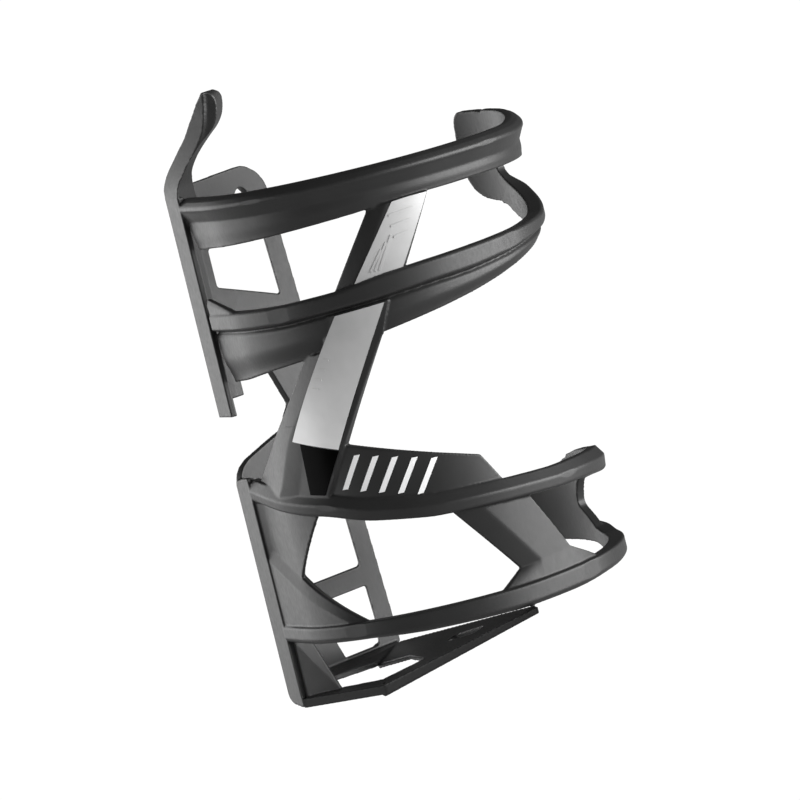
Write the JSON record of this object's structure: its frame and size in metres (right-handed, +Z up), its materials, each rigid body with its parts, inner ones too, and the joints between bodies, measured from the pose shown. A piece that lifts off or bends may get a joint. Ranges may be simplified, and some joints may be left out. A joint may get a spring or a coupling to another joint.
{
  "type": "water bottle cage",
  "caption": "Side-entry water bottle cage for a bicycle frame: flat bolt-on plate, wrap-around loops, diagonal strut with foil decals, retaining tab and sloping floor.",
  "frame": {"origin": "midway between the two frame bolts, on the rear mounting face", "axes": "+Z up along the bottle, +Y from the mounting face towards the bottle, +X towards the closed side that the loops spring from; the open entry side is -X"},
  "size_m": [0.0808, 0.0806, 0.1511],
  "materials": {
    "carbon": "satin",
    "foil": "brushed",
    "gloss_black": "gloss",
    "print_white": "printed"
  },
  "bodies": {
    "moulding": {"upper_mount": "carbon", "upper_spine": "carbon", "upper_side_bar": "carbon", "cross_web": "carbon", "lower_mount": "carbon", "lower_side_bar": "carbon", "lower_spine": "carbon", "brace_bar": "carbon", "corner_panel": "carbon", "retaining_tab": "carbon", "upper_loop": "carbon", "second_loop": "carbon", "loop_gusset": "carbon", "upper_strut": "carbon", "diagonal_strut": "carbon", "strut_cap": "carbon", "side_wall": "carbon", "label_wall": "carbon", "lower_rim": "carbon", "lower_band": "carbon", "band_gusset": "carbon", "lower_strut": "carbon", "floor_rail": "carbon", "floor_rear": "carbon", "floor_tongue": "carbon", "floor_edge": "carbon", "floor_gusset": "carbon", "upper_foil": "foil", "lower_foil": "foil", "black_foil": "gloss_black", "label_print": "print_white"},
    "upper_arm": {"upper_loop_arm": "carbon", "second_loop_arm": "carbon", "upper_end_web": "carbon"},
    "lower_arm": {"lower_rim_arm": "carbon", "lower_band_arm": "carbon", "lower_end_web": "carbon"}
  },
  "joints": [
    {"name": "upper_arm_flex", "type": "hinge", "parent": "moulding", "child": "upper_arm", "pos_m": [0.00575, 0.0802, 0], "axis": [0, 0, -1], "range_deg": [0, 8], "stiffness_Nm_per_rad": 4},
    {"name": "lower_arm_flex", "type": "hinge", "parent": "moulding", "child": "lower_arm", "pos_m": [0, 0.0806, 0], "axis": [0, 0, -1], "range_deg": [0, 8], "stiffness_Nm_per_rad": 4}
  ]
}
